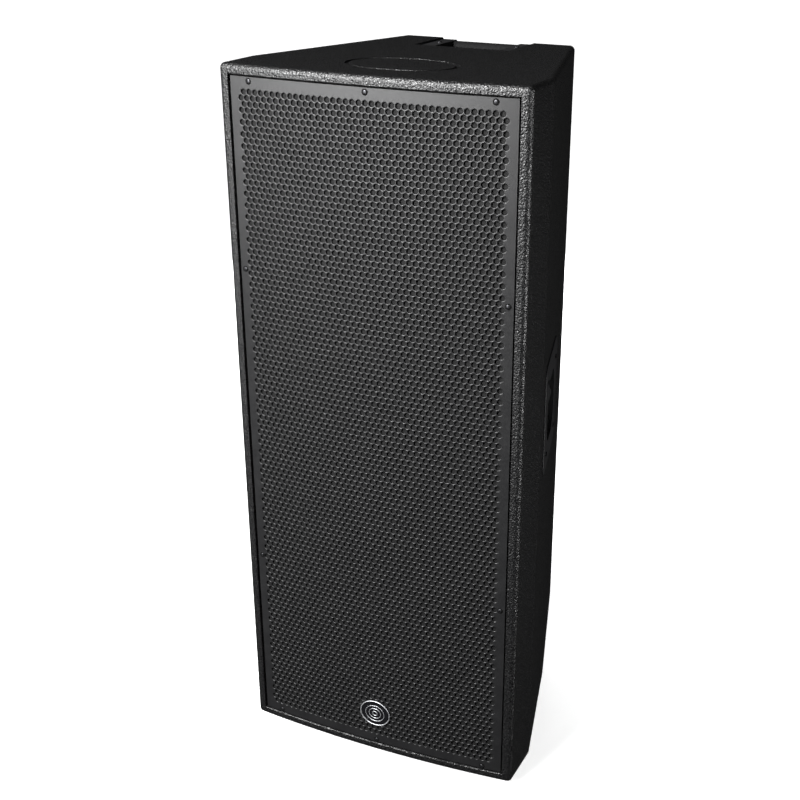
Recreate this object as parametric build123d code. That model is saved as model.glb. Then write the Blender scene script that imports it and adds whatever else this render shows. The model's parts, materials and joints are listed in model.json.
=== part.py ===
from build123d import *
import math
import os

# Two-way PA speaker cabinet with two 15 inch woofers and one horn. Millimetres.
# +X is the cabinet's right seen from the front, +Y points to its back, +Z up.
# The origin is on the floor, under the middle of the whole cabinet.

# ---- driving dimensions ------------------------------------------------------------
width = 480.0                 # across the front
depth = 440.0                 # from the middle of the bowed front to the back
body_height = 1113.5          # wooden box, without feet
foot_height = 10.0
bow_radius = 2213.0           # plan radius of the bowed front rim
side_thickness = 15.5         # boards round the sides and the back
end_thickness = 15.0          # top and bottom boards
parallel_depth = 96.0         # from the front plane back to the knee of each side
rear_width = 295.6            # across the back
chamfer = 112.0               # bottom rear corner cut, equal along Y and Z
edge_radius = 8.0             # round-over on the outside edges

baffle_setback = 47.0         # front plane to the baffle's face
baffle_thickness = 18.0
grille_setback = 2.8          # grille face behind the rim face
grille_thickness = 1.5
grille_gap = 2.0              # air gap round the grille's top and bottom
grille_side_gap = 2.8
foam_thickness = 6.0
rim_softening = 1.5           # round-over inside the rim, in front of the grille
top_screw_inset = 6.0         # grille screws below the top of the grille
bottom_screw_inset = 4.0
screw_row = (-190.0, 0.0, 190.0)
side_screws = 214.0           # screws down each side, off the middle
side_screw_heights = (823.0, 332.0)
batten = 18.0
brace_thickness = 15.0

woofer_radius = 194.0         # flange of a 15 inch driver
woofer_pitch = 394.0
woofer_bolt_circle = 183.0
basket_radius = 175.0         # cast frame behind its flange
basket_lip = 8.0              # thickness of the flange
basket_depth = 96.0           # baffle's face to the magnet's seat
basket_neck = 112.0
coil_radius = 38.0            # 3 inch voice coil
magnet_radius = 95.0
magnet_thickness = 26.0
pole_radius = 86.0            # steel plates on both sides of the magnet
pole_thickness = 8.0
horn_flange = (270.0, 210.0)
horn_mouth = (246.0, 186.0)
horn_plate = 6.0              # thickness of the horn's flange
horn_length = 150.0
horn_wall = 3.0
throat_radius = 18.0
port_radius = 30.0
port_length = 110.0
port_spread = 62.0            # above and below the middle of the horn
driver_radius = 62.0
driver_length = 46.0
driver_cover = 14.0

crossover_height = 310.0
crossover_board = (170.0, 110.0)
crossover_post = 10.0         # keeps the board off the back panel

badge_height = 84.0           # middle of the badge above the floor
badge_shift = -2.0            # the badge is stuck on by hand, a little off the middle
badge_size = (55.0, 48.0)

side_handle_height = 600.0    # middle of the side handle above the floor
side_handle_along = 127.5     # behind the knee, along the tapered side
side_flange = (181.0, 181.0)
side_cup = (114.0, 110.0)
side_cup_corner = 40.0
side_cup_depth = 58.0
side_screw_pitch = 120.0
grip_radius = 12.0

tilt_width = 160.0            # recess for the tilt handle, cut into top and back
tilt_reach = 112.0
tilt_sink = 3.0
tilt_pocket = 112.0
tilt_pocket_radius = 92.0
tilt_bar_radius = 10.5
tilt_bar_inset = 14.0         # bar's middle below the top and in from the back
tilt_screw_inset = 48.0       # screws below the top and in from the back
tilt_screw_side = 67.0

plate_height = 545.0          # middle of the input plate above the floor
plate_size = (150.0, 116.0)
plate_rim = 15.0              # flat border round the dish
plate_steel = 1.5
dish_depth = 16.0
socket_pitch = 56.0
socket_bore = 11.0

wheel_radius = 32.0
wheel_width = 26.0
wheel_spread = 105.0
wheel_floor_gap = 3.0
wheel_back_gap = 2.0
axle_radius = 5.0
hub_radius = 22.0
cheek = 3.0                   # steel of the wheel brackets
cheek_gap = 1.5

foot_radius = 16.0
front_foot = (190.0, 50.0)    # across, and back from the front plane
rear_foot = (150.0, 292.0)
groove = (87.0, 61.0)         # oval routed in the top, its half width and half depth
groove_width = 7.0
groove_depth = 2.5
groove_place = 118.0          # middle of the oval behind the front plane
panel_screw = 2.1             # shank radius of the screws of handles, plate and brackets

wall = 2.5                    # moulded plastic
slack = 0.15                  # round a screw in its hole
running = 0.05                # round an axle in its bore
apart = 0.4                   # between moving and fixed pieces of a woofer

# ---- levels and places worked out from them ----------------------------------------
front = -depth / 2
back = depth / 2
floor_board = foot_height
lid = foot_height + body_height
inside_low = floor_board + end_thickness
inside_high = lid - end_thickness
half = width / 2
inner_half = half - side_thickness
bow_middle = front + bow_radius
knee = front + parallel_depth
rear_half = rear_width / 2
facet_length = math.hypot(half - rear_half, back - knee)
taper = math.atan2(half - rear_half, back - knee)
inner_back = back - side_thickness
inner_knee = knee - side_thickness * math.tan(taper / 2)
inner_rear_half = inner_half - (inner_back - inner_knee) * math.tan(taper)
baffle_face = front + baffle_setback
baffle_back = baffle_face + baffle_thickness
grille_radius = bow_radius - grille_setback
foam_radius = grille_radius - grille_thickness
batten_radius = foam_radius - foam_thickness
grille_half = inner_half - grille_side_gap
grille_low = inside_low + grille_gap
grille_high = inside_high - grille_gap
lower_woofer_height = inside_low + batten + 3 + woofer_radius
upper_woofer_height = lower_woofer_height + woofer_pitch
horn_height = (upper_woofer_height + woofer_radius + inside_high - batten) / 2
port_reach = (horn_flange[0] / 2 + inner_half - batten) / 2
brace_heights = (
    (lower_woofer_height + upper_woofer_height) / 2,
    upper_woofer_height + basket_radius + 16,
)

parts = {}


# ---- small tools -------------------------------------------------------------------
def block(x0, x1, y0, y1, z0, z1):
    """A box between two corners."""
    return Pos((x0 + x1) / 2, (y0 + y1) / 2, (z0 + z1) / 2) * Box(x1 - x0, y1 - y0, z1 - z0)


def prism(points, low, high):
    """An upright prism over a plan outline with straight sides."""
    outline = Polyline(*points, close=True)
    return Pos(0, 0, low) * extrude(make_face(outline), high - low, dir=(0, 0, 1))


def disc(radius, low, high):
    """A cylinder on the local Z axis from low to high."""
    return Pos(0, 0, (low + high) / 2) * Cylinder(radius, high - low)


def ring(inner, outer, low, high):
    return disc(outer, low, high) - disc(inner, low - 1, high + 1)


def slab(size, low, high, corner):
    """A rectangle with rounded corners, extruded along the local Z axis."""
    return Pos(0, 0, low) * extrude(RectangleRounded(size[0], size[1], corner), high - low)


def turned(points):
    """A body of revolution about the local Z axis from (radius, height) points."""
    outline = Polyline(*[(r, 0, z) for r, z in points], close=True)
    return revolve(make_face(outline), Axis.Z)


def facing(x, y, z, normal, across=(1, 0, 0)):
    """A place whose local Z axis points along normal."""
    return Plane(origin=(x, y, z), x_dir=across, z_dir=normal).location


def mirrored(shape):
    return mirror(shape, about=Plane.YZ)


def grid(pitch_x, pitch_y):
    return [(sx * pitch_x / 2, sy * pitch_y / 2) for sx in (-1, 1) for sy in (-1, 1)]


def bow_sheet(outer, thickness, half_width, low, high):
    """A sheet bent to the bow of the front."""
    curved = Pos(0, bow_middle, 0) * ring(outer - thickness, outer, low, high)
    return curved & block(-half_width, half_width, front - 1, front + 60, low, high)


def bow_place(along, height, radius):
    """A place on the bow, its local Z axis square to the sheet and pointing out."""
    angle = along / radius
    x = radius * math.sin(angle)
    y = bow_middle - radius * math.cos(angle)
    return facing(x, y, height, (math.sin(angle), -math.cos(angle), 0),
                  (math.cos(angle), math.sin(angle), 0))


def pan_screw(shank, length, head, head_height):
    """A screw with its head above local Z = 0, its shank below and a cross slot."""
    body = disc(head, 0, head_height) + disc(shank, -length, 0)
    for turn in (0, 90):
        body -= Rot(0, 0, turn) * Pos(0, 0, head_height) * Box(head * 1.2, head * 0.24, head_height)
    return body


def group(solids):
    return Compound(children=[s for shape in solids for s in shape.solids()])


# ---- wooden box --------------------------------------------------------------------
def envelope():
    """The outside shape of the box, with its rounded outer edges."""
    corner_y = bow_middle - math.sqrt(bow_radius ** 2 - half ** 2)
    arc = ThreePointArc((-half, corner_y), (0, front), (half, corner_y))
    sides = Polyline((half, corner_y), (half, knee), (rear_half, back), (-rear_half, back),
                     (-half, knee), (-half, corner_y))
    body = Pos(0, 0, floor_board) * extrude(make_face([arc, sides]), body_height, dir=(0, 0, 1))
    body -= behind_chamfer(0)
    upright = body.edges().filter_by(Axis.Z)
    knees = upright.filter_by(lambda e: abs(e.center().Y - knee) < 1)
    body = fillet([e for e in body.edges() if e not in knees], edge_radius)
    recess = block(-inner_half, inner_half, front - 1, baffle_face, inside_low, inside_high)
    body -= recess
    return fillet([e for e in body.edges() if in_mouth(e)], rim_softening)


def in_mouth(edge):
    """True for the four edges where the rim's face turns in towards the grille."""
    spot = edge.center()
    beside = abs(abs(spot.X) - inner_half) < 0.1 and inside_low < spot.Z < inside_high
    level = min(abs(spot.Z - inside_low), abs(spot.Z - inside_high)) < 0.1 and abs(spot.X) < 1
    return (beside or level) and spot.Y < front + 20


def behind_chamfer(inset):
    """Everything behind the sloping plane that cuts the bottom rear corner."""
    start = back - chamfer - inset * math.sqrt(2)
    far = 400
    outline = Polyline((0, start - far, floor_board - far), (0, start + far, floor_board + far),
                       (0, start + far, floor_board - far), close=True)
    return Pos(-half, 0, 0) * extrude(make_face(outline), width, dir=(1, 0, 0))


def side_boards(body):
    front_plan = [(half + 1, front - 1), (half + 1, knee), (half, knee), (inner_half, inner_knee),
                  (inner_half, front - 1)]
    rear_plan = [(half + 1, knee), (half + 1, back + 1), (rear_half, back + 1), (rear_half, back),
                 (inner_rear_half, inner_back), (inner_half, inner_knee), (half, knee)]
    front_board = body & prism(front_plan, inside_low, inside_high)
    rear_board = body & prism(rear_plan, inside_low, inside_high)
    return front_board, rear_board


def inner_plan(y0, y1):
    """The plan inside the side boards between two depths, both behind the knee."""
    def reach(y):
        return inner_half - max(0, y - inner_knee) * math.tan(taper)
    points = [(reach(y0), y0), (reach(y1), y1), (-reach(y1), y1), (-reach(y0), y0)]
    if y0 < inner_knee < y1:
        points.insert(1, (inner_half, inner_knee))
        points.insert(4, (-inner_half, inner_knee))
    return points


def make_box():
    body = envelope()
    front_board, rear_board = side_boards(body)
    back_plan = [(rear_half, back), (inner_rear_half, inner_back), (-inner_rear_half, inner_back),
                 (-rear_half, back)]
    tall = prism(back_plan, inside_low, inside_high)
    sloping = prism(inner_plan(0, inner_back), inside_low, inside_high)
    parts["top_panel"] = body & block(-half, half, front, back, inside_high, lid)
    parts["bottom_panel"] = body & block(-half, half, front, back, floor_board, inside_low)
    parts["right_front_side_panel"] = front_board
    parts["left_front_side_panel"] = mirrored(front_board)
    parts["right_rear_side_panel"] = rear_board
    parts["left_rear_side_panel"] = mirrored(rear_board)
    parts["back_panel"] = body & tall
    parts["wheel_corner_panel"] = body & sloping & behind_chamfer(side_thickness)


def routed_ring():
    """A plain oval groove routed in the top panel."""
    outer = Ellipse(*groove)
    inner = Ellipse(groove[0] - groove_width, groove[1] - groove_width)
    return Pos(0, front + groove_place, lid - groove_depth) * extrude(outer - inner, groove_depth + 3)


def make_inside_boards():
    baffle = block(-inner_half, inner_half, baffle_face, baffle_back, inside_low, inside_high)
    for height in (lower_woofer_height, upper_woofer_height):
        baffle -= facing(0, baffle_face, height, (0, -1, 0)) * disc(basket_radius + 1, -30, 5)
    baffle -= horn_place() * slab(horn_mouth, -30, 5, 20)
    for place in port_places():
        baffle -= place * disc(port_radius + wall + slack, -30, 5)
    parts["front_baffle"] = baffle

    upright = block(inner_half - batten, inner_half, front, baffle_face, inside_low, inside_high)
    level = block(batten - inner_half, inner_half - batten, front, baffle_face, 0, batten)
    room = Pos(0, bow_middle, 0) * disc(batten_radius, 0, lid)
    parts["grille_battens"] = [
        upright & room,
        mirrored(upright) & room,
        Pos(0, 0, inside_low) * level & room,
        Pos(0, 0, inside_high - batten) * level & room,
    ]

    braces = []
    front_windows, rear_windows = (baffle_back + 82, 62), (inner_back - 110, 52)
    for height in brace_heights:
        low = height - brace_thickness / 2
        board = prism(inner_plan(baffle_back, inner_back), low, low + brace_thickness)
        for y, radius in (front_windows, rear_windows):
            for side in (-1, 1):
                board -= Pos(side * (radius + 14), y, height) * Cylinder(radius, 2 * brace_thickness)
        braces.append(board)
    parts["window_braces"] = braces
    wadding_low = plate_height + 90
    wadding_high = lid - 130
    wadding = block(-110, 110, inner_back - 26, inner_back - 1, wadding_low, wadding_high)
    wadding -= block(-120, 120, 0, back, brace_heights[1] - 9, brace_heights[1] + 9)
    parts["acoustic_wadding"] = wadding


# ---- grille ------------------------------------------------------------------------
def grille_screw_places():
    """Ten screws: three along the top and the bottom, two down each side."""
    levels = (grille_high - top_screw_inset, grille_low + bottom_screw_inset)
    rows = [(along, height) for along in screw_row for height in levels]
    sides = [(side * side_screws, height) for side in (-1, 1) for height in side_screw_heights]
    return [bow_place(along, height, grille_radius) for along, height in rows + sides]


def make_grille():
    sheet = bow_sheet(grille_radius, grille_thickness, grille_half, grille_low, grille_high)
    foam = bow_sheet(foam_radius, foam_thickness, grille_half - 1, grille_low + 1, grille_high - 1)
    screws = []
    for place in grille_screw_places():
        hole = place * disc(2 + slack, -24, 1)
        sheet -= hole
        foam -= hole
        parts["grille_battens"] = [piece - hole for piece in parts["grille_battens"]]
        screws.append(place * pan_screw(2, 22, 3.7, 1.8))
    parts["grille"] = sheet
    parts["grille_foam"] = foam
    parts["grille_screws"] = screws


def make_badge():
    place = bow_place(badge_shift, badge_height, grille_radius)
    outer = Ellipse(badge_size[0] / 2, badge_size[1] / 2)
    inner = Ellipse(badge_size[0] / 2 - 3, badge_size[1] / 2 - 3)
    lift = 0.3
    parts["badge_bezel"] = place * Pos(0, 0, lift) * extrude(outer - inner, 1.6)
    parts["badge_face"] = place * Pos(0, 0, lift) * extrude(inner, 1)


# ---- woofers: local Z points out of the cabinet, 0 at the baffle's face ------------
def basket():
    """Cast frame: flange, sloping arms with windows, and the ring the magnet bolts to."""
    inside = basket_radius - 4
    neck_inside = basket_neck - 6
    seat = -basket_depth
    seat_hole = coil_radius + 3.5
    shell = turned([
        (inside, basket_lip), (woofer_radius, basket_lip), (woofer_radius, 0), (basket_radius, 0),
        (basket_radius, -22), (basket_neck, seat + 12), (basket_neck, seat), (seat_hole, seat),
        (seat_hole, seat + 5), (neck_inside, seat + 5), (neck_inside, seat + 15), (inside, -16),
    ])
    window = Pos(145, 0, -52) * Box(110, 62, 58)
    for turn in range(0, 360, 60):
        shell -= Rot(0, 0, turn) * window
    return shell


def wave(start, end, level, rise, count, thickness):
    """A corrugated ring, as a spider is pressed."""
    upper = []
    for i in range(count * 4 + 1):
        radius = start + (end - start) * i / (count * 4)
        upper.append((radius, level + rise * math.sin(i * math.pi / 2)))
    lower = [(radius, height - thickness) for radius, height in reversed(upper)]
    return turned(upper + lower)


def rolled_surround(inner):
    """A half roll between the cone's edge and the flange, with a glued lip outside it."""
    outer = inner + 9
    lip = woofer_radius - 10
    base = basket_lip
    skin = 1.0
    middle = (inner + outer) / 2
    radius = outer - middle
    upper_half = Pos(0, radius) * Rectangle(4 * radius, 2 * radius)
    roll = (Circle(radius) - Circle(radius - skin)) & upper_half
    flat = ring(outer - skin / 2, lip, base, base + skin)
    return revolve(Plane.XZ * Pos(middle, base) * roll, Axis.Z) + flat


def woofer_pieces():
    cone_edge = 163.0
    cone_top = 9.6
    neck = coil_radius + 0.4
    neck_top = -60.4
    paper = 1.6
    cap_radius = 52.0
    slope = (cone_top - neck_top) / (cone_edge - neck)
    cap_level = neck_top + slope * (cap_radius - neck) + 0.1
    seat = -basket_depth
    magnet_front = seat - pole_thickness
    magnet_back = magnet_front - magnet_thickness
    pole = disc(pole_radius, magnet_back - pole_thickness - 2, magnet_back)
    pole += disc(coil_radius - 1, magnet_back, seat)
    return {
        "frame": basket(),
        "magnet": ring(coil_radius + 9, magnet_radius, magnet_back, magnet_front),
        "top_plate": ring(coil_radius + 1.6, pole_radius, magnet_front, seat),
        "back_plate": pole - disc(14, magnet_back - 20, seat + 6),
        "surround": rolled_surround(cone_edge + apart),
        "spider": wave(coil_radius + 0.6 + apart, 100, -76, 1.6, 6, 0.8) + ring(99, 106, -81, -76),
        "cone": turned([(neck, neck_top - paper), (cone_edge, cone_top - paper),
                        (cone_edge, cone_top), (neck, neck_top)]),
        "dust_cap": dust_cap(cap_radius, cap_level, 14),
        "voice_coil": ring(coil_radius - 0.3, coil_radius + 0.3, -121, -58)
        + ring(coil_radius + 0.3, coil_radius + 0.9, -116, -85),
    }


def dust_cap(radius, level, rise):
    """A thin dome glued over the voice coil."""
    sphere = (radius ** 2 + rise ** 2) / (2 * rise)
    dome = Pos(0, 0, level + rise - sphere) * (Sphere(sphere) - Sphere(sphere - 1))
    return dome & disc(radius + 1, level, level + rise + 1)


def make_woofers():
    bolts = []
    for name, height in (("upper_woofer", upper_woofer_height), ("lower_woofer", lower_woofer_height)):
        place = facing(0, baffle_face, height, (0, -1, 0))
        pieces = woofer_pieces()
        for i in range(8):
            angle = math.radians(22.5 + 45 * i)
            spot = Pos(woofer_bolt_circle * math.cos(angle), woofer_bolt_circle * math.sin(angle), basket_lip)
            bolts.append(place * spot * cap_bolt(3, 26, 5, 5))
            hole = spot * disc(3 + slack, -40, 5)
            pieces["frame"] -= hole
            pieces["surround"] -= spot * disc(5 + slack, -2, 9)
            parts["front_baffle"] -= place * hole
        for piece, shape in pieces.items():
            parts[f"{name}_{piece}"] = place * shape
    parts["woofer_bolts"] = bolts


def cap_bolt(shank, length, head, head_height):
    """A socket head bolt, its head above local Z = 0."""
    body = disc(head, 0, head_height) + disc(shank, -length, 0)
    return body - Pos(0, 0, head_height - 2.5) * extrude(RegularPolygon(2.9, 6), 3)


# ---- horn and ports ----------------------------------------------------------------
def horn_place():
    return facing(0, baffle_face, horn_height, (0, -1, 0))


def port_places():
    return [facing(side * port_reach, baffle_face, horn_height + step, (0, -1, 0))
            for side in (-1, 1) for step in (-port_spread, port_spread)]


def flare(grow):
    """The horn's passage from its mouth to the throat, grown by a wall thickness."""
    rim = 2 * (grow - horn_wall)
    mouth = RectangleRounded(horn_mouth[0] + rim, horn_mouth[1] + rim, 18)
    middle = RectangleRounded(118 + 2 * grow, 84 + 2 * grow, 20)
    throat = Circle(throat_radius + grow)
    mouth_level = horn_plate if grow else horn_plate + 0.1
    return loft([Pos(0, 0, mouth_level) * mouth, Pos(0, 0, -70) * middle, Pos(0, 0, -horn_length) * throat])


def make_horn():
    rear = -horn_length
    bolt = 2.5
    collar = ring(throat_radius, 50, rear, rear + horn_plate)
    body = slab(horn_flange, 0, horn_plate, 12) + flare(horn_wall) + collar - flare(0)
    bolts = []
    for x, y in grid(horn_flange[0] - 11, horn_flange[1] - 20):
        spot = Pos(x, y, horn_plate)
        body -= spot * disc(bolt + slack, -horn_plate - 5, 3)
        parts["front_baffle"] -= horn_place() * spot * disc(bolt + slack, -46, 3)
        bolts.append(horn_place() * spot * cap_bolt(bolt, 24, 4, 4))
    parts["horn_flare"] = horn_place() * body
    parts["horn_bolts"] = bolts
    driver = disc(driver_radius, rear - driver_length, rear)
    driver -= disc(throat_radius, rear - driver_length + 16, rear + 1)
    parts["compression_driver"] = horn_place() * driver
    cap = disc(driver_radius - 12, rear - driver_length - driver_cover, rear - driver_length)
    cap = fillet(cap.edges().group_by(Axis.Z)[0], 6)
    parts["compression_driver_cover"] = horn_place() * cap
    tube = ring(port_radius, port_radius + wall, -port_length, 0)
    port = tube + ring(port_radius, port_radius + 2 * wall, 0, 3)
    parts["reflex_ports"] = [place * port for place in port_places()]


# ---- electrical pieces -------------------------------------------------------------
def make_crossover():
    """A filter board on posts on the inside of the back panel, under the lower brace."""
    place = facing(0, inner_back - crossover_post, crossover_height, (0, -1, 0))
    laminate = 2.0
    board = slab(crossover_board, 0, laminate, 4)
    for x, y in grid(crossover_board[0] - 20, crossover_board[1] - 20):
        board += Pos(x, y, 0) * disc(4, -crossover_post, 0)
    parts["crossover_board"] = place * board
    coil = ring(12, 27, laminate, laminate + 24)
    parts["crossover_inductors"] = [place * Pos(x, 20, 0) * coil for x in (-52, 8)]
    can_radius = 9.0
    can = Rot(0, 90, 0) * Cylinder(can_radius, 46)
    parts["crossover_capacitors"] = [place * Pos(x, y, laminate + can_radius + 0.2) * can
                                     for x in (-46, 10) for y in (-22, -43)]


def plate_place():
    return facing(0, back, plate_height, (0, 1, 0), (-1, 0, 0))


def make_input_plate():
    """A dished steel plate let into the back panel, with two speaker sockets."""
    dish = (plate_size[0] - 2 * plate_rim, plate_size[1] - 2 * plate_rim)
    sink = 0.5
    seat = sink + 2
    plate = slab(plate_size, -seat, -sink, 8)
    plate += slab(dish, -dish_depth, -sink, 10)
    plate -= slab((dish[0] - 2 * plate_steel, dish[1] - 2 * plate_steel), plate_steel - dish_depth, 1, 8.5)
    panel = parts["back_panel"] - plate_place() * slab((plate_size[0] + 1, plate_size[1] + 1), -seat, 5, 8.5)
    panel -= plate_place() * slab((dish[0] + 1, dish[1] + 1), -40, 5, 10.5)
    sockets = []
    for x in (-socket_pitch / 2, socket_pitch / 2):
        spot = Pos(x, 0, plate_steel - dish_depth)
        plate -= spot * disc(12.5, -5, 5)
        socket = slab((26, 31), 0, 3, 4) + disc(12.3, -24, 0)
        socket -= disc(socket_bore, -18, 5)
        sockets.append(plate_place() * spot * socket)
    for x, y in grid(plate_size[0] - 14, plate_size[1] - 14):
        plate -= Pos(x, y, 0) * disc(panel_screw + slack, -12, 5)
        panel -= plate_place() * Pos(x, y, 0) * disc(panel_screw + slack, -14, 5)
        screw = Pos(x, y, -sink) * pan_screw(panel_screw, 13, 3.8, 0.45)
        parts["panel_screws"].append(plate_place() * screw)
    parts["input_plate"] = plate_place() * plate
    parts["input_sockets"] = sockets
    parts["back_panel"] = panel


# ---- handles -----------------------------------------------------------------------
def side_place():
    """The middle of the right side handle: local X runs back along the side, Y up, Z out."""
    x = half - side_handle_along * math.sin(taper)
    y = knee + side_handle_along * math.cos(taper)
    return facing(x, y, side_handle_height, (math.cos(taper), math.sin(taper), 0),
                  (-math.sin(taper), math.cos(taper), 0))


def make_side_handles():
    """A moulded cup let into each tapered side, with a grip across it."""
    place = side_place()
    inner = (side_cup[0] - 2 * wall, side_cup[1] - 2 * wall)
    cup = slab(side_flange, 0, wall, 20)
    cup = fillet(cup.edges().group_by(Axis.Z)[-1], 1.5)
    cup += slab(side_cup, -side_cup_depth, 0, side_cup_corner)
    hollow = slab(inner, wall - side_cup_depth, wall + 1, side_cup_corner - wall)
    cup -= fillet(hollow.edges().group_by(Axis.Z)[0], 12)
    grip = Pos(0, 0, -grip_radius - 2) * Rot(0, 90, 0) * Cylinder(grip_radius, inner[0])
    board = parts["right_rear_side_panel"]
    board -= place * slab((side_cup[0] + 1, side_cup[1] + 1), -side_cup_depth, 5, side_cup_corner + 0.5)
    screws = []
    for x, y in grid(side_screw_pitch, side_screw_pitch):
        cup -= Pos(x, y, 0) * disc(panel_screw + slack, -1, 5)
        board -= place * Pos(x, y, 0) * disc(panel_screw + slack, -14, 5)
        screws.append(place * Pos(x, y, wall) * pan_screw(panel_screw, 13, 3.8, 1.6))
    parts["right_rear_side_panel"] = board
    parts["left_rear_side_panel"] = mirrored(board)
    parts["right_handle_cup"] = place * cup
    parts["left_handle_cup"] = mirrored(place * cup)
    parts["right_handle_grip"] = place * grip
    parts["left_handle_grip"] = mirrored(place * grip)
    parts["panel_screws"] += screws + [mirrored(screw) for screw in screws]


def make_tilt_handle():
    """A cup let into the top rear corner, with a bar for tilting the cabinet onto its wheels."""
    half_tilt = tilt_width / 2
    corner = Pos(0, back, lid) * Rot(0, 90, 0)
    deck = lid - tilt_sink
    face = back - tilt_sink

    def flanges(grow):
        """The two sunk flanges, from the recess floor up to the surface."""
        top = block(-half_tilt - grow, half_tilt + grow, back - tilt_reach - grow, face,
                    deck - wall, deck)
        rear = block(-half_tilt - grow, half_tilt + grow, face - wall, face,
                     lid - tilt_reach - grow, deck)
        return top + rear

    quarter = block(-half_tilt, half_tilt, back - 200, face, lid - 200, deck)
    shell = corner * Cylinder(tilt_pocket_radius + wall, tilt_pocket + 2 * wall) & quarter
    pocket = corner * Cylinder(tilt_pocket_radius, tilt_pocket)
    cup = flanges(0) + shell - pocket
    room = block(-half_tilt - 1, half_tilt + 1, back - tilt_reach - 1, back + 5, deck - wall, lid + 5)
    room += block(-half_tilt - 1, half_tilt + 1, face - wall, back + 5, lid - tilt_reach - 1, lid)
    room += corner * Cylinder(tilt_pocket_radius + wall + 0.5, tilt_pocket + 2 * wall + 1)
    top, rear = parts["top_panel"] - room, parts["back_panel"] - room
    for side in (-tilt_screw_side, tilt_screw_side):
        upper = facing(side, back - tilt_screw_inset, deck, (0, 0, 1))
        lower = facing(side, face, lid - tilt_screw_inset, (0, 1, 0))
        for spot in (upper, lower):
            hole = spot * disc(panel_screw + slack, -8, 3)
            cup -= hole
            top -= hole
            rear -= hole
            parts["panel_screws"].append(spot * pan_screw(panel_screw, 7.5, 3.8, 1.6))
    parts["top_panel"] = top - routed_ring()
    parts["back_panel"] = rear
    parts["tilt_handle_cup"] = cup
    bar = Pos(0, back - tilt_bar_inset, lid - tilt_bar_inset) * Rot(0, 90, 0)
    parts["tilt_handle_bar"] = bar * Cylinder(tilt_bar_radius, tilt_pocket)


# ---- wheels and feet ---------------------------------------------------------------
def wheel_bracket(axis, slope, along, away):
    """A plate on the sloping panel with two cheeks that hold the axle."""
    reach = wheel_width / 2 + cheek_gap
    bracket = slope * slab((2 * (reach + cheek) + 24, 62), 0, cheek, 5)
    leaf = Polyline((0, along - 20, 0), (0, along + 20, 0), (0, along + 9, away + 9),
                    (0, along - 9, away + 9), close=True)
    sheet = extrude(make_face(leaf), cheek / 2, both=True)
    for side in (-1, 1):
        bracket += slope * Pos(side * (reach + cheek / 2), 0, 0) * sheet
    bracket -= axis * Cylinder(axle_radius + running, 80)
    for u, v in grid(2 * (reach + cheek) + 12, 46):
        hole = slope * Pos(u, v, 0) * disc(panel_screw + slack, -14, 5)
        bracket -= hole
        parts["wheel_corner_panel"] -= hole
        parts["panel_screws"].append(slope * Pos(u, v, cheek) * pan_screw(panel_screw, 13, 3.8, 1.6))
    return bracket


def make_wheels():
    """A fixed wheel on a forked bracket at each side of the chamfered corner."""
    y = back - wheel_back_gap - wheel_radius
    z = wheel_floor_gap + wheel_radius
    slope_y, slope_z = back - chamfer / 2, floor_board + chamfer / 2
    along = ((y - slope_y) + (z - slope_z)) / math.sqrt(2)
    away = ((y - slope_y) - (z - slope_z)) / math.sqrt(2)
    half_axle = wheel_width / 2 + cheek_gap + cheek
    head = 3.0
    brackets, axles = [], []
    for name, side in (("left_wheel", -1), ("right_wheel", 1)):
        x = side * wheel_spread
        axis = Pos(x, y, z) * Rot(0, 90, 0)
        tread = Cylinder(wheel_radius, wheel_width)
        tread = fillet(tread.edges(), 4) - Cylinder(hub_radius, wheel_width)
        hub = Cylinder(hub_radius, wheel_width - 2) - Cylinder(axle_radius + running, wheel_width)
        hub -= Pos(0, 0, wheel_width / 2 - 1) * ring(9, hub_radius - 4, -4, 1)
        parts[name + "_tyre"] = axis * tread
        parts[name + "_hub"] = axis * hub
        slope = facing(x, slope_y, slope_z, (0, 1, -1))
        brackets.append(wheel_bracket(axis, slope, along, away))
        axle = disc(axle_radius, -half_axle - head, half_axle + head)
        axle += disc(8, half_axle + 0.1, half_axle + head) + disc(8, -half_axle - head, -half_axle - 0.1)
        axles.append(axis * axle)
    parts["wheel_brackets"] = brackets
    parts["wheel_axles"] = axles


def make_feet():
    feet = []
    for x, y in (front_foot, rear_foot):
        foot = Cone(foot_radius, foot_radius + 3, foot_height, align=(Align.CENTER, Align.CENTER, Align.MIN))
        foot = fillet(foot.edges().group_by(Axis.Z)[0], 2)
        feet += [Pos(side * x, front + y, 0) * foot for side in (-1, 1)]
    parts["rubber_feet"] = feet


# ---- build and write ---------------------------------------------------------------
parts["panel_screws"] = []
make_box()
make_inside_boards()
make_grille()
make_badge()
make_woofers()
make_horn()
make_crossover()
make_input_plate()
make_side_handles()
make_tilt_handle()
make_wheels()
make_feet()

os.makedirs("parts", exist_ok=True)
for name, shape in parts.items():
    solids = shape if isinstance(shape, list) else [shape]
    export_step(group(solids), f"parts/{name}.step")
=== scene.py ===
import json
import math

import bpy
from mathutils import Matrix, Vector, noise


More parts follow.
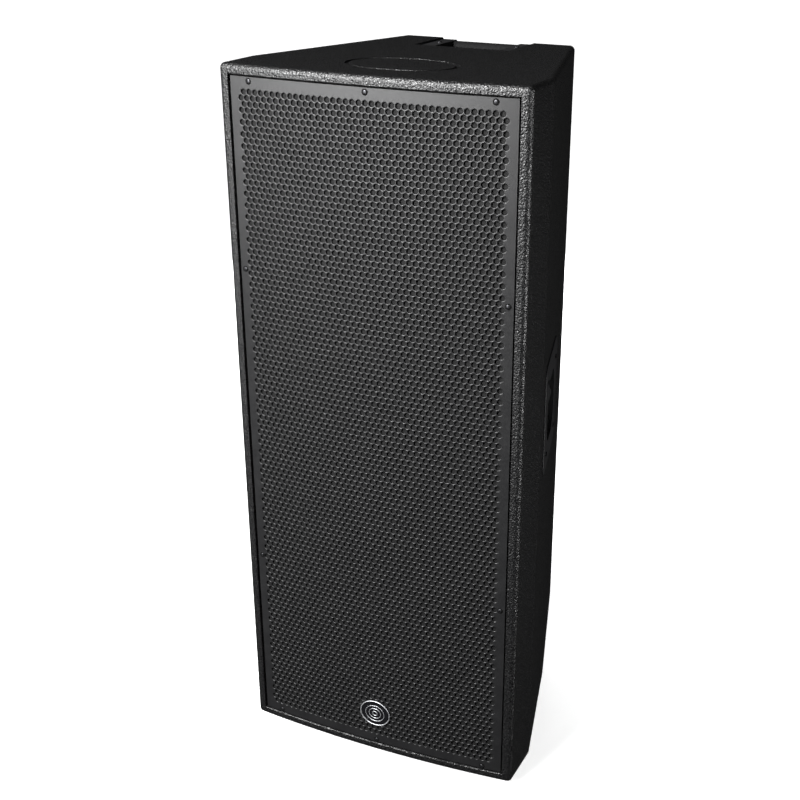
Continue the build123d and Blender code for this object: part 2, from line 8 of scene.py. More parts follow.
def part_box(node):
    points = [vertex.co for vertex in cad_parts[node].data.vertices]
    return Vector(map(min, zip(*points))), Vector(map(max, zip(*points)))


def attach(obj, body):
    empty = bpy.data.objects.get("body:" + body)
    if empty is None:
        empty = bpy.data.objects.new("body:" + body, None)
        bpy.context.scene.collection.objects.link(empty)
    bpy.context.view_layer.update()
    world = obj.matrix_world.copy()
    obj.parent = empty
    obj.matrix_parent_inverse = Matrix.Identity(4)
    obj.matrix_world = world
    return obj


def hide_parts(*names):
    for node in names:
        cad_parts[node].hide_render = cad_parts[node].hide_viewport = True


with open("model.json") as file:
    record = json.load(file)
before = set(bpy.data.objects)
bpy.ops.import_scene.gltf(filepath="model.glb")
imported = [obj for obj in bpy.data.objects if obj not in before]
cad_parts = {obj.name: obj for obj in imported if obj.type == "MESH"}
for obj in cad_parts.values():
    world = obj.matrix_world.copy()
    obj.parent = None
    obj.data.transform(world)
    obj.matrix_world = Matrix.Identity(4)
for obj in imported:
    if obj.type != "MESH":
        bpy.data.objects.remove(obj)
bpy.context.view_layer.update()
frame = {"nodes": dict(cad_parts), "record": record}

# A two-way PA speaker cabinet. Metres, +X to the right, +Y to the back, +Z up, the front faces -Y.

NODES = frame["nodes"]
CABINET = "cabinet"

# ---- sizes that the frame doesn't say ------------------------------------------------
BOW_RADIUS = 2.2102           # plan radius of the grille's face
PATTERN_DROP = 0.0011         # the pattern of holes sits this far below the middle of the sheet
SHEET = 0.0015                # thickness of the grille's steel
HOLE_PITCH = 0.010
HOLE_RADIUS = 0.0040
HOLE_EDGE = 0.0006            # width and depth of the rounding round a hole's front
ROW_SPACING = HOLE_PITCH * math.cos(math.radians(30))
HOLE_ROWS = 121
EVEN_ROW_HOLES = 41           # odd rows have one more
GRILLE_BANDS = 5              # the grille is made in bands of whole rows
TOP_SCREW_INSET = 0.006       # grille screws below the top of the grille
BOTTOM_SCREW_INSET = 0.004
SCREW_ROW = (-0.19, 0, 0.19)
SCREW_SIDE = 0.214
SCREW_SIDE_HEIGHTS = (0.332, 0.823)
FOAM_GAP = 0.0010             # between the sheet and the foam behind it
FOAM_CORE = 0.0046            # thickness of the foam before it swells
FOAM_SWELL = 0.0004           # the most that a swelling stands out
FOAM_SWELLS_PER_METRE = 60
SCREW_RADIUS = 0.0031         # of the head of a grille screw
SCREW_RISE = 0.0014           # how far the head stands out
BADGE_RINGS = (0.70, 0.44, 0.18)  # the rings' sizes, as shares of the badge's face
BADGE_RING_TUBE = 0.0005      # half the thickness of each ring
BEZEL_TUBE = 0.0009           # half the thickness of the badge's rim
TURN = 2 * math.pi


# ---- camera ----------------------------------------------------------------------------
def make_camera():
    """The viewing angle of a person standing in front, to the right, looking down a little."""
    yaw = math.radians(-23.7025)
    pitch = math.radians(-24.3175)
    roll = math.radians(-0.6387)
    eye = (0.84895, -1.82179, 1.38389)
    forward = Vector((math.sin(yaw) * math.cos(pitch), math.cos(yaw) * math.cos(pitch), math.sin(pitch)))
    level = Vector((math.cos(yaw), -math.sin(yaw), 0))
    down = forward.cross(level)
    right = math.cos(roll) * level + math.sin(roll) * down
    up = math.sin(roll) * level - math.cos(roll) * down
    data = bpy.data.cameras.new("camera")
    data.sensor_width = 36
    data.lens = 58.614
    data.shift_x = -0.07266
    data.shift_y = 0.06557
    data.clip_end = 200
    camera = bpy.data.objects.new("camera", data)
    place = Matrix((right, up, -forward)).transposed().to_4x4()
    place.translation = eye
    camera.matrix_world = place
    bpy.context.scene.collection.objects.link(camera)
    bpy.context.scene.camera = camera


# ---- light and floor -------------------------------------------------------------------
def area_light(name, place, target, size, power):
    data = bpy.data.lights.new(name, "AREA")
    data.shape = "RECTANGLE"
    data.size, data.size_y = size
    data.energy = power
    light = bpy.data.objects.new(name, data)
    light.location = place
    light.visible_camera = False
    aim = Vector(target) - Vector(place)
    light.rotation_euler = aim.to_track_quat("-Z", "Y").to_euler()
    bpy.context.scene.collection.objects.link(light)


def paper_sheet(name, corners, faces, glow):
    """White paper that only the camera sees: it throws no light or shadow on the cabinet."""
    mesh = bpy.data.meshes.new(name)
    mesh.from_pydata(corners, [], faces)
    mesh.materials.append(glowing_paper(name + "_paper", glow))
    sheet = bpy.data.objects.new(name, mesh)
    sheet.visible_glossy = False
    sheet.visible_diffuse = False
    sheet.visible_shadow = False
    bpy.context.scene.collection.objects.link(sheet)


def make_studio():
    """A white floor and backdrop, an overhead lamp, and softboxes in front, behind and beside."""
    reach, height = 30.0, 30.0
    square = [(-reach, -reach), (reach, -reach), (reach, reach), (-reach, reach)]
    corners = [(x, y, 0) for x, y in square] + [(x, y, height) for x, y in square]
    walls = [(k, k + 4, (k + 1) % 4 + 4, (k + 1) % 4) for k in range(4)]
    paper_sheet("floor", corners[:4], [(0, 1, 2, 3)], 0.78)
    paper_sheet("backdrop", corners, walls, 1.0)
    world = bpy.data.worlds.new("studio")
    world.use_nodes = True
    world.node_tree.nodes["Background"].inputs["Color"].default_value = (1, 1, 1, 1)
    world.node_tree.nodes["Background"].inputs["Strength"].default_value = 0.010
    bpy.context.scene.world = world
    overhead = bpy.data.lights.new("overhead", "SUN")
    overhead.energy = 2.0
    overhead.angle = math.radians(24)
    overhead_light = bpy.data.objects.new("overhead", overhead)
    overhead_light.rotation_euler = Vector((0.38, 0.52, -0.76)).to_track_quat("-Z", "Y").to_euler()
    bpy.context.scene.collection.objects.link(overhead_light)
    area_light("front_softbox", (-0.86, -1.95, 1.0), (0, -0.2, 1.0), (1.5, 0.6), 39)
    area_light("upper_softbox", (-0.7, -1.85, 2.0), (0, -0.2, 0.55), (1.1, 0.8), 118)
    area_light("back_softbox", (-1.45, 2.5, 0.55), (-0.1, 0.2, 0.55), (1.5, 0.9), 75)
    area_light("side_softbox", (2.4, -0.1, 0.5), (0.24, -0.2, 0.6), (0.12, 1.4), 34)
    bpy.context.scene.view_settings.view_transform = "Standard"


# ---- material tools --------------------------------------------------------------------
class Paint:
    """A node material in the making: the shader, and short calls that add nodes to it."""

    def __init__(self, name, colour, roughness, metallic=0.0):
        self.material = bpy.data.materials.new(name)
        self.material.use_nodes = True
        self.tree = self.material.node_tree
        self.shader = self.tree.nodes["Principled BSDF"]
        self.shader.inputs["Base Color"].default_value = (*colour, 1)
        self.shader.inputs["Roughness"].default_value = roughness
        self.shader.inputs["Metallic"].default_value = metallic
        self.where = self.tree.nodes.new("ShaderNodeTexCoord").outputs["Object"]

    def set(self, socket, value):
        self.shader.inputs[socket].default_value = value
        return self

    def node(self, kind, **values):
        made = self.tree.nodes.new(kind)
        for key, value in values.items():
            setattr(made, key, value)
        return made

    def link(self, source, target):
        self.tree.links.new(source, target)
        return self

    def stretched(self, scale):
        """The object's coordinates, scaled by a factor on each axis."""
        mapping = self.node("ShaderNodeMapping")
        mapping.inputs["Scale"].default_value = scale
        self.link(self.where, mapping.inputs["Vector"])
        return mapping.outputs["Vector"]

    def noise(self, size, detail=3.0, roughness=0.5, where=None):
        """Noise whose lumps are about size metres across."""
        made = self.node("ShaderNodeTexNoise")
        made.inputs["Scale"].default_value = 1 / size
        made.inputs["Detail"].default_value = detail
        made.inputs["Roughness"].default_value = roughness
        self.link(where or self.where, made.inputs["Vector"])
        return made.outputs["Fac"]

    def cells(self, size, feature="F1", where=None):
        made = self.node("ShaderNodeTexVoronoi", feature=feature)
        made.inputs["Scale"].default_value = 1 / size
        self.link(where or self.where, made.inputs["Vector"])
        return made.outputs["Distance"]

    def ramp(self, source, stops):
        """A ramp from (position, value) or (position, colour) stops."""
        made = self.node("ShaderNodeValToRGB")
        points = made.color_ramp.elements
        while len(points) < len(stops):
            points.new(0.5)
        for point, (position, value) in zip(points, stops):
            point.position = position
            colour = value if isinstance(value, tuple) else (value,) * 3
            point.color = (*colour, 1)
        self.link(source, made.inputs["Fac"])
        return made.outputs["Color"]

    def add(self, a, b, share):
        """a plus share times b."""
        made = self.node("ShaderNodeMath", operation="MULTIPLY_ADD")
        self.link(b, made.inputs[0])
        made.inputs[1].default_value = share
        self.link(a, made.inputs[2])
        return made.outputs[0]

    def colour(self, source, stops):
        return self.link(self.ramp(source, stops), self.shader.inputs["Base Color"])

    def rough(self, source, stops):
        return self.link(self.ramp(source, stops), self.shader.inputs["Roughness"])

    def bump(self, height, depth, strength=1.0):
        """Surface relief: height from 0 to 1 stands for depth metres."""
        made = self.node("ShaderNodeBump")
        made.inputs["Distance"].default_value = depth
        made.inputs["Strength"].default_value = strength
        self.link(height, made.inputs["Height"])
        return self.link(made.outputs["Normal"], self.shader.inputs["Normal"])


def glowing_paper(name, glow):
    """White studio paper lit from behind, so that shadows on it stay pale."""
    paint = Paint(name, (0.82, 0.82, 0.82), 0.9)
    paint.rough(paint.noise(0.4), [(0.3, 0.85), (0.7, 0.95)])
    paint.set("Emission Color", (1, 1, 1, 1)).set("Emission Strength", glow)
    return paint.material


# ---- materials ---------------------------------------------------------------------------
def textured_paint():
    """Hard black cabinet paint, rolled on so that it dries in small lumps."""
    paint = Paint("textured_paint", (0.010, 0.010, 0.011), 0.5)
    lumps = paint.noise(0.0025, 1.0, 0.5)
    specks = paint.cells(0.0028)
    height = paint.add(lumps, specks, -0.8)
    paint.bump(height, 0.0008, 1.0)
    paint.colour(lumps, [(0.38, (0.002, 0.002, 0.0022)), (0.66, (0.007, 0.007, 0.0074))])
    paint.rough(paint.noise(0.0016, 1.0), [(0.42, 0.52), (0.58, 0.27)])
    paint.set("Specular IOR Level", 0.65)
    return paint.material


def powder_coat():
    """Satin black powder coat on steel, with its fine orange peel."""
    paint = Paint("powder_coat", (0.02, 0.02, 0.021), 0.48)
    paint.bump(paint.noise(0.0012, 2.0), 0.00008, 0.6)
    paint.colour(paint.noise(0.03, 3.0), [(0.3, (0.008, 0.008, 0.0085)), (0.7, (0.012, 0.012, 0.0125))])
    paint.rough(paint.noise(0.004, 2.0), [(0.3, 0.36), (0.7, 0.44)])
    return paint.material


def matt_coat():
    """Dull black coating on thick steel parts."""
    paint = Paint("matt_coat", (0.005, 0.005, 0.0053), 0.8)
    paint.bump(paint.noise(0.0015, 2.0), 0.0001, 0.6)
    paint.rough(paint.noise(0.006, 2.0), [(0.3, 0.72), (0.7, 0.85)])
    paint.set("Specular IOR Level", 0.2)
    return paint.material


def open_foam():
    """Charcoal reticulated foam, its thin webs a little shiny."""
    paint = Paint("open_foam", (0.004, 0.004, 0.004), 0.6)
    pores = paint.cells(0.0011, "DISTANCE_TO_EDGE")
    paint.colour(pores, [(0.0, (0.013, 0.013, 0.0132)), (0.25, (0.005, 0.005, 0.005))])
    paint.rough(pores, [(0.0, 0.50), (0.3, 0.80)])
    paint.bump(pores, 0.0003, 0.8)
    paint.set("Specular IOR Level", 0.16)
    return paint.material


def moulded_plastic():
    """Black moulding with a fine spark-eroded grain."""
    paint = Paint("moulded_plastic", (0.014, 0.014, 0.015), 0.5)
    paint.bump(paint.noise(0.0007, 2.0), 0.0001, 0.7)
    paint.rough(paint.noise(0.02), [(0.3, 0.42), (0.7, 0.55)])
    return paint.material


def black_zinc():
    """Blackened screws, worn a little bright on their slots."""
    paint = Paint("black_zinc", (0.05, 0.05, 0.052), 0.35, 0.9)
    paint.colour(paint.noise(0.0008, 3.0), [(0.4, (0.03, 0.03, 0.032)), (0.75, (0.14, 0.14, 0.15))])
    paint.rough(paint.noise(0.0005), [(0.3, 0.25), (0.7, 0.45)])
    return paint.material


def screw_shade_ring():
    """Painted shade round a screw head: a flat near-black ring that stands in for the shadow in the screw's
    countersink.
    """
    # painted shade: near-black and dull, so the ring reads as the shadow round a screw head
    paint = Paint("screw_shade_ring", (0.003, 0.003, 0.003), 0.9)
    paint.rough(paint.noise(0.001), [(0.3, 0.8), (0.7, 0.95)])
    paint.set("Specular IOR Level", 0.1)
    return paint.material


def chrome():
    paint = Paint("satin_chrome", (0.66, 0.67, 0.69), 0.5, 0.9)
    paint.rough(paint.noise(0.004), [(0.3, 0.46), (0.7, 0.56)])
    return paint.material


def gloss_black():
    paint = Paint("gloss_black", (0.006, 0.006, 0.007), 0.1)
    paint.rough(paint.noise(0.003), [(0.3, 0.06), (0.7, 0.14)])
    return paint.material


def rubber(name, colour, rough_level):
    paint = Paint(name, colour, rough_level)
    paint.bump(paint.noise(0.001, 2.0), 0.00012, 0.6)
    dusty = tuple(min(1, c * 1.8 + 0.01) for c in colour)
    paint.colour(paint.noise(0.012, 4.0), [(0.45, colour), (0.8, dusty)])
    paint.rough(paint.noise(0.01), [(0.3, rough_level - 0.06), (0.7, rough_level + 0.06)])
    return paint.material


def zinc_plate():
    paint = Paint("zinc_plate", (0.55, 0.56, 0.58), 0.35, 1.0)
    paint.colour(paint.noise(0.006, 4.0), [(0.3, (0.42, 0.43, 0.45)), (0.7, (0.62, 0.63, 0.64))])
    paint.rough(paint.noise(0.0012, 2.0, where=paint.stretched((1, 8, 1))), [(0.3, 0.28), (0.7, 0.45)])
    return paint.material


def plywood():
    paint = Paint("bare_plywood", (0.52, 0.37, 0.22), 0.7)
    grain = paint.noise(0.05, 5.0, 0.6, paint.stretched((1.2, 14, 14)))
    paint.colour(grain, [(0.3, (0.40, 0.26, 0.14)), (0.55, (0.58, 0.42, 0.26)), (0.75, (0.66, 0.50, 0.32))])
    paint.bump(grain, 0.0003, 0.5)
    return paint.material


def flat_black_board():
    paint = Paint("flat_black_board", (0.02, 0.02, 0.02), 0.85)
    grain = paint.noise(0.04, 4.0, 0.6, paint.stretched((14, 14, 1)))
    paint.colour(grain, [(0.3, (0.012, 0.012, 0.012)), (0.7, (0.028, 0.027, 0.026))])
    paint.bump(grain, 0.0002, 0.5)
    return paint.material


def cast_metal():
    paint = Paint("coated_casting", (0.03, 0.03, 0.032), 0.5, 0.3)
    paint.bump(paint.noise(0.0015, 3.0), 0.0002, 0.6)
    paint.rough(paint.noise(0.01), [(0.3, 0.42), (0.7, 0.6)])
    return paint.material


def ferrite():
    paint = Paint("ferrite", (0.035, 0.035, 0.038), 0.6, 0.2)
    paint.colour(paint.noise(0.002, 4.0), [(0.3, (0.025, 0.025, 0.028)), (0.7, (0.06, 0.06, 0.065))])
    paint.bump(paint.noise(0.0008, 3.0), 0.0001, 0.6)
    return paint.material


def paper_pulp():
    paint = Paint("paper_pulp", (0.02, 0.02, 0.021), 0.85)
    fibres = paint.noise(0.003, 6.0, 0.7)
    paint.colour(fibres, [(0.35, (0.012, 0.012, 0.013)), (0.7, (0.035, 0.034, 0.033))])
    paint.bump(fibres, 0.0003, 0.8)
    return paint.material


def woven_cloth(name, dark, light):
    paint = Paint(name, light, 0.8)
    threads = paint.cells(0.0009)
    paint.colour(threads, [(0.1, light), (0.6, dark)])
    paint.bump(threads, 0.0002, 0.8)
    return paint.material


def copper_wire():
    paint = Paint("enamelled_copper", (0.60, 0.25, 0.10), 0.3, 0.9)
    turns = paint.node("ShaderNodeTexWave", wave_type="RINGS", rings_direction="Y")
    turns.inputs["Scale"].default_value = 300
    paint.link(paint.where, turns.inputs["Vector"])
    paint.bump(turns.outputs["Fac"], 0.0004, 0.8)
    paint.colour(paint.noise(0.004), [(0.3, (0.48, 0.18, 0.07)), (0.7, (0.68, 0.30, 0.13))])
    return paint.material


def circuit_board():
    paint = Paint("circuit_board", (0.02, 0.12, 0.05), 0.4)
    tracks = paint.cells(0.006)
    paint.colour(tracks, [(0.40, (0.02, 0.16, 0.07)), (0.46, (0.012, 0.09, 0.04))])
    paint.bump(tracks, 0.0001, 0.4)
    return paint.material


def film_sleeve():
    paint = Paint("film_sleeve", (0.62, 0.48, 0.06), 0.3)
    paint.colour(paint.noise(0.01), [(0.3, (0.55, 0.42, 0.05)), (0.7, (0.68, 0.54, 0.09))])
    paint.rough(paint.noise(0.004), [(0.3, 0.22), (0.7, 0.4)])
    return paint.material


def fibre_wadding():
    paint = Paint("fibre_wadding", (0.70, 0.70, 0.68), 0.95)
    tufts = paint.noise(0.012, 8.0, 0.75)
    paint.colour(tufts, [(0.3, (0.50, 0.50, 0.48)), (0.7, (0.80, 0.80, 0.78))])
    paint.bump(tufts, 0.004, 1.0)
    return paint.material


def coat_frame(materials):
    """Gives every CAD node its finish, by the record's material slots."""
    slots = {row["node"]: row["material_slot"] for row in frame["record"]["subparts"]}
    for name, node in NODES.items():
        node.data.materials.clear()
        node.data.materials.append(materials[slots[name]])


# ---- small mesh tools ---------------------------------------------------------------------
def new_piece(name, verts, faces, material, body=CABINET, smooth=False):
    """A mesh piece that rides on a body, in the finish it is given."""
    mesh = bpy.data.meshes.new(name)
    mesh.from_pydata(verts, [], faces)
    mesh.validate()
    mesh.materials.append(material)
    piece = bpy.data.objects.new(name, mesh)
    bpy.context.scene.collection.objects.link(piece)
    if smooth:
        mesh.polygons.foreach_set("use_smooth", [True] * len(mesh.polygons))
    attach(piece, body)
    return piece


def on_bow(along, height, radius, middle):
    """A point on a sheet bent about an upright axis at y = middle."""
    angle = along / BOW_RADIUS
    return (radius * math.sin(angle), middle - radius * math.cos(angle), height)


# ---- grille --------------------------------------------------------------------------------
class Band:
    """Vertices and faces of one band of the grille. Depth is measured in from the sheet's face."""

    def __init__(self, rows, low, high):
        self.rows = rows
        self.low, self.high = low.z, high.z
        self.middle = low.y + BOW_RADIUS
        self.half = BOW_RADIUS * math.asin(high.x / BOW_RADIUS)
        self.top_row = (low.z + high.z) / 2 - PATTERN_DROP + ROW_SPACING * (HOLE_ROWS - 1) / 2
        self.index = {}
        self.verts = []
        self.faces = []
        self.rounded = []

    def row_height(self, row):
        return self.top_row - row * ROW_SPACING

    def vertex(self, along, height, depth):
        key = (round(along * 1e6), round(height * 1e6), round(depth * 1e6))
        if key not in self.index:
            self.index[key] = len(self.verts)
            self.verts.append(on_bow(along, height, BOW_RADIUS - depth, self.middle))
        return self.index[key]

    def face(self, corners, rounded):
        self.faces.append([self.vertex(*corner) for corner in corners])
        self.rounded.append(rounded)

    def plate(self, corners):
        """One face of the sheet and its twin on the back; corners run anticlockwise seen from the front."""
        self.face([(a, h, 0) for a, h in corners], False)
        self.face([(a, h, SHEET) for a, h in reversed(corners)], False)

    def wall(self, start, end):
        """A strip through the sheet's thickness, its outside on the right of start to end."""
        self.face([(*start, SHEET), (*end, SHEET), (*end, 0), (*start, 0)], False)


def hexagon_point(step):
    """Corners and side middles of a hole's hexagonal cell, one every 30 degrees."""
    apothem = HOLE_PITCH / 2
    angle = math.radians(30 * step)
    reach = apothem if step % 2 == 0 else apothem / math.cos(math.radians(30))
    return reach * math.cos(angle), reach * math.sin(angle)


def row_holes(row):
    count = EVEN_ROW_HOLES + row % 2
    return [(i - (count - 1) / 2) * HOLE_PITCH for i in range(count)]


def add_cell(band, along, height):
    """The steel round one hole, out to its hexagonal cell, from its face round to its back."""
    def circle(radius, depth):
        angles = [math.radians(30 * step) for step in range(12)]
        return [(along + radius * math.cos(t), height + radius * math.sin(t), depth) for t in angles]

    cell = [(along + x, height + y) for x, y in map(hexagon_point, range(12))]
    rings = [[(a, h, 0) for a, h in cell],
             circle(HOLE_RADIUS + HOLE_EDGE, 0),
             circle(HOLE_RADIUS, HOLE_EDGE),
             circle(HOLE_RADIUS, SHEET),
             [(a, h, SHEET) for a, h in cell]]
    for outer, inner in zip(rings, rings[1:]):
        for k in range(12):
            after = (k + 1) % 12
            band.face([inner[k], outer[k], outer[after], inner[after]], True)


def make_grille(material):
    """The perforated sheet, as bands of whole rows, each a closed solid."""
    low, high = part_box("grille")
    limits = [round(i * HOLE_ROWS / GRILLE_BANDS) for i in range(GRILLE_BANDS + 1)]
    first = None
    for number, (start, end) in enumerate(zip(limits, limits[1:])):
        band = Band(range(start, end), low, high)
        for row in band.rows:
            for along in row_holes(row):
                add_cell(band, along, band.row_height(row))
        add_sides(band)
        if start == 0:
            add_end(band, start, 1)
        if end == HOLE_ROWS:
            add_end(band, end - 1, -1)
        if start > 0:
            close_between(band, start, 1)
        if end < HOLE_ROWS:
            close_between(band, end - 1, -1)
        piece = new_piece(f"grille_band_{number + 1}", band.verts, band.faces, material)
        piece.data.polygons.foreach_set("use_smooth", band.rounded)
        piece.data.set_sharp_from_angle(angle=math.radians(60))
        first = first or piece
    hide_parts("grille")


def side_edge(row, height, side):
    """Points down one side of a row's outermost cell. The wider rows show the slants of theirs too."""
    along = row_holes(row)[-1 if side > 0 else 0]
    steps = (3, 2, 1, 0, -1, -2, -3) if side > 0 else (3, 4, 5, 6, 7, 8, 9)
    if row % 2 == 0:
        steps = steps[2:5]
    return [(along + x, height + y) for x, y in map(hexagon_point, steps)]


def side_chain(band, side):
    """The zigzag edge of the field of holes down one side of a band."""
    chain = []
    for row in band.rows:
        points = side_edge(row, band.row_height(row), side)
        chain += [p for p in points if not chain or abs(p[1] - chain[-1][1]) > 1e-7]
    return chain


def add_sides(band):
    """Plain steel between the field of holes and the sheet's upright edges."""
    for side in (-1, 1):
        chain = side_chain(band, side)
        for above, below in zip(chain, chain[1:]):
            high_edge, low_edge = (side * band.half, above[1]), (side * band.half, below[1])
            if side < 0:
                band.plate([high_edge, low_edge, below, above])
                band.wall(high_edge, low_edge)
            else:
                band.plate([above, below, low_edge, high_edge])
                band.wall(low_edge, high_edge)


def row_edge(row, height, up):
    """The zigzag top (up = 1) or bottom (up = -1) of a row, from left to right."""
    steps = (5, 4, 3, 2, 1) if up > 0 else (7, 8, 9, 10, 11)
    chain = []
    for along in row_holes(row):
        points = [(along + x, height + y) for x, y in map(hexagon_point, steps)]
        chain += points if not chain else points[1:]
    return chain if row % 2 == 0 else chain[2:-2]


def whole_row_edge(band, row, up):
    """The zigzag top or bottom of a row, carried on level to the sheet's upright edges."""
    chain = row_edge(row, band.row_height(row), up)
    return [(-band.half, chain[0][1]), *chain, (band.half, chain[-1][1])]


def add_end(band, row, up):
    """Plain steel between the first or last row and the sheet's level edge, with its corners."""
    chain = whole_row_edge(band, row, up)
    edge = band.high if up > 0 else band.low
    for left, right in zip(chain, chain[1:]):
        if up > 0:
            band.plate([left, right, (right[0], edge), (left[0], edge)])
            band.wall((right[0], edge), (left[0], edge))
        else:
            band.plate([(left[0], edge), (right[0], edge), right, left])
            band.wall((left[0], edge), (right[0], edge))
    for side in (-1, 1):
        start, end = (side * band.half, chain[0][1]), (side * band.half, edge)
        if side * up < 0:
            start, end = end, start
        band.wall(start, end)


def close_between(band, row, up):
    """Closes a band where it meets the next one, above or below it."""
    chain = whole_row_edge(band, row, up)
    if up > 0:
        chain.reverse()
    for start, end in zip(chain, chain[1:]):
        band.wall(start, end)


# ---- foam ------------------------------------------------------------------------------------
def make_foam(material):
    """The foam that backs the grille: a soft sheet that swells a little between its edges."""
    low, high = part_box("grille_foam")
    radius = BOW_RADIUS - SHEET
    middle = low.y + radius
    half = radius * math.asin(high.x / radius)
    columns, rows = 60, 140
    apart = 7                     # far enough through the noise that the two faces swell on their own
    verts, faces = [], []
    for side in (0, 1):
        for j in range(rows + 1):
            for i in range(columns + 1):
                along = -half + 2 * half * i / columns
                height = low.z + (high.z - low.z) * j / rows
                spot = Vector((along * FOAM_SWELLS_PER_METRE, height * FOAM_SWELLS_PER_METRE, side * apart))
                swell = abs(noise.noise(spot)) * FOAM_SWELL
                depth = FOAM_GAP + swell + side * FOAM_CORE
                angle = along / radius
                reach = radius - depth
                verts.append((reach * math.sin(angle), middle - reach * math.cos(angle), height))
    across = columns + 1
    layer = across * (rows + 1)
    for j in range(rows):
        for i in range(columns):
            a = j * across + i
            faces.append((a, a + 1, a + 1 + across, a + across))
            faces.append((a + layer, a + across + layer, a + 1 + across + layer, a + 1 + layer))
    border = list(range(across))
    border += [(j * across) + columns for j in range(1, rows + 1)]
    border += [rows * across + i for i in range(columns - 1, -1, -1)]
    border += [j * across for j in range(rows - 1, 0, -1)]
    for k, a in enumerate(border):
        b = border[(k + 1) % len(border)]
        faces.append((b, a, a + layer, b + layer))
    foam = new_piece("foam_sheet", verts, faces, material, smooth=True)
    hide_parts("grille_foam")


# ---- grille screws ------------------------------------------------------------------------------
def screw_places():
    """Along and height of each grille screw: three in the top and bottom rows, two down each side."""
    low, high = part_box("grille")
    levels = (high.z - TOP_SCREW_INSET, low.z + BOTTOM_SCREW_INSET)
    rows = [(along, height) for along in SCREW_ROW for height in levels]
    sides = [(side * SCREW_SIDE, height) for side in (-1, 1) for height in SCREW_SIDE_HEIGHTS]
    return rows + sides


def turned_on_bow(name, profile, material, recess=None):
    """Bodies of revolution on the grille's face, one at each screw, from (radius, height) points."""
    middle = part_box("grille")[0].y + BOW_RADIUS
    around = 40
    verts, faces = [], []
    for along, height in screw_places():
        start = len(verts)
        angle = along / BOW_RADIUS
        across = Vector((math.cos(angle), math.sin(angle), 0))
        out = Vector((math.sin(angle), -math.cos(angle), 0))
        centre = Vector(on_bow(along, height, BOW_RADIUS, middle))
        for radius, lift in profile:
            for k in range(around):
                turn = TURN * k / around
                u, v = radius * math.cos(turn), radius * math.sin(turn)
                sunk = recess(u, v) if recess else 0
                verts.append(centre + u * across + Vector((0, 0, v)) + (lift - sunk) * out)
        for ring in range(len(profile) - 1):
            for k in range(around):
                a = start + ring * around + k
                b = start + ring * around + (k + 1) % around
                faces.append((a, b, b + around, a + around))
        faces.append([start + k for k in reversed(range(around))])
        last = start + (len(profile) - 1) * around
        faces.append([last + k for k in range(around)])
    return new_piece(name, verts, faces, material)


def make_grille_screws(head_finish, shade_ring_finish):
    """Domed heads with a cross recess, each ringed by painted shade: a flat black ring raised a hair off
    the sheet, standing in for the shadow round the head.
    """
    arm_width, arm_length, arm_depth = 0.16 * SCREW_RADIUS, 0.62 * SCREW_RADIUS, 0.0007
    skirt = 0.35                  # share of the head's height below its dome

    def cross(u, v):
        on_arm = min(abs(u), abs(v)) < arm_width and max(abs(u), abs(v)) < arm_length
        return arm_depth if on_arm else 0

    dome = [(SCREW_RADIUS, 0.0001), (SCREW_RADIUS, skirt * SCREW_RISE)]
    dome += [(SCREW_RADIUS * math.cos(t), SCREW_RISE * (skirt + (1 - skirt) * math.sin(t)))
             for t in [math.radians(5 * step) for step in range(1, 18)]]
    heads = turned_on_bow("grille_screw_heads", dome, head_finish, cross)
    # painted shade: a flat black annulus round each head, in place of the countersink's shadow
    shade_ring_profile = [(0.0047, 0.00005), (0.0047, 0.0002), (0.0043, 0.0003), (SCREW_RADIUS - 0.0002, 0.0003)]
    turned_on_bow("grille_screw_shade_rings", shade_ring_profile, shade_ring_finish)
    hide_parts("grille_screws")


# ---- badge -----------------------------------------------------------------------------------
def oval_tube(name, centre, half_width, half_height, tube, material):
    """A thin ring in the XZ plane with an oval path."""
    around, section = 64, 10
    verts, faces = [], []
    for i in range(around):
        turn = TURN * i / around
        out = Vector((math.cos(turn) / half_width, 0, math.sin(turn) / half_height)).normalized()
        on_path = Vector((half_width * math.cos(turn), 0, half_height * math.sin(turn)))
        for j in range(section):
            roll = TURN * j / section
            lift = Vector((0, -math.sin(roll), 0))
            verts.append(Vector(centre) + on_path + tube * (math.cos(roll) * out + lift))
    for i in range(around):
        for j in range(section):
            a = i * section + j
            b = i * section + (j + 1) % section
            c = (i + 1) % around * section + (j + 1) % section
            d = (i + 1) % around * section + j
            faces.append((a, d, c, b))
    return new_piece(name, verts, faces, material, smooth=True)


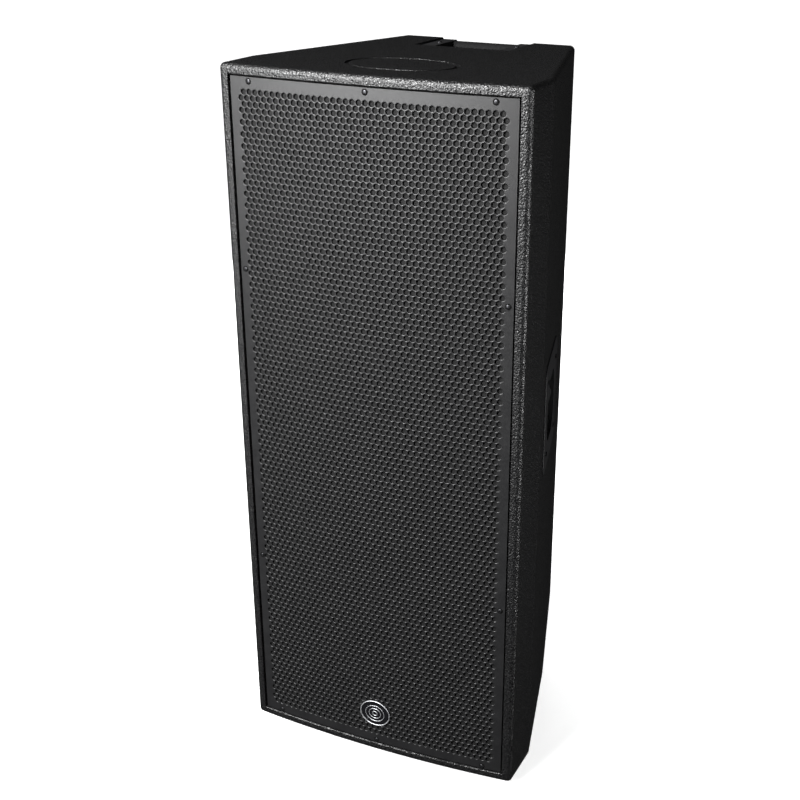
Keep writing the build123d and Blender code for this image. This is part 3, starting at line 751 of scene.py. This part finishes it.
def make_emblem(material):
    """Plain concentric rings on the badge, like a cone seen from the front."""
    low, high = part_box("badge_face")
    centre = ((low.x + high.x) / 2, low.y, (low.z + high.z) / 2)
    half_width, half_height = (high.x - low.x) / 2, (high.z - low.z) / 2
    for number, share in enumerate(BADGE_RINGS):
        oval_tube(f"badge_ring_{number + 1}", centre, half_width * share, half_height * share,
                  BADGE_RING_TUBE, material)


def make_bezel(material):
    """The badge's polished rim, round in section."""
    low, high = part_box("badge_bezel")
    centre = ((low.x + high.x) / 2, high.y - BEZEL_TUBE / 2, (low.z + high.z) / 2)
    half_width, half_height = (high.x - low.x) / 2 - BEZEL_TUBE, (high.z - low.z) / 2 - BEZEL_TUBE
    bezel = oval_tube("badge_rim", centre, half_width, half_height, BEZEL_TUBE, material)
    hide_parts("badge_bezel")


# ---- the scene -------------------------------------------------------------------------------
def make_finishes():
    """One finish for each material slot of the record."""
    return {
        "cabinet_paint": textured_paint(),
        "inner_board": flat_black_board(),
        "bare_plywood": plywood(),
        "grille_steel": powder_coat(),
        "grille_foam": open_foam(),
        "black_screw": black_zinc(),
        "badge_chrome": chrome(),
        "badge_black": gloss_black(),
        "cast_frame": cast_metal(),
        "ferrite": ferrite(),
        "plated_steel": zinc_plate(),
        "cone_paper": paper_pulp(),
        "surround_cloth": woven_cloth("doped_cloth", (0.010, 0.010, 0.011), (0.030, 0.030, 0.032)),
        "spider_cloth": woven_cloth("spider_cloth", (0.30, 0.16, 0.04), (0.55, 0.34, 0.12)),
        "coil_former": copper_wire(),
        "moulded_black": moulded_plastic(),
        "circuit_board": circuit_board(),
        "copper_winding": copper_wire(),
        "capacitor_sleeve": film_sleeve(),
        "plate_steel": matt_coat(),
        "grip_rubber": rubber("grip_rubber", (0.014, 0.014, 0.015), 0.6),
        "tyre_rubber": rubber("tyre_rubber", (0.045, 0.045, 0.048), 0.7),
        "foot_rubber": rubber("foot_rubber", (0.016, 0.016, 0.017), 0.75),
        "wadding": fibre_wadding(),
    }


make_camera()
make_studio()
finishes = make_finishes()
coat_frame(finishes)
make_grille(finishes["grille_steel"])
make_foam(finishes["grille_foam"])
make_grille_screws(finishes["black_screw"], screw_shade_ring())
make_emblem(finishes["badge_chrome"])
make_bezel(finishes["badge_chrome"])
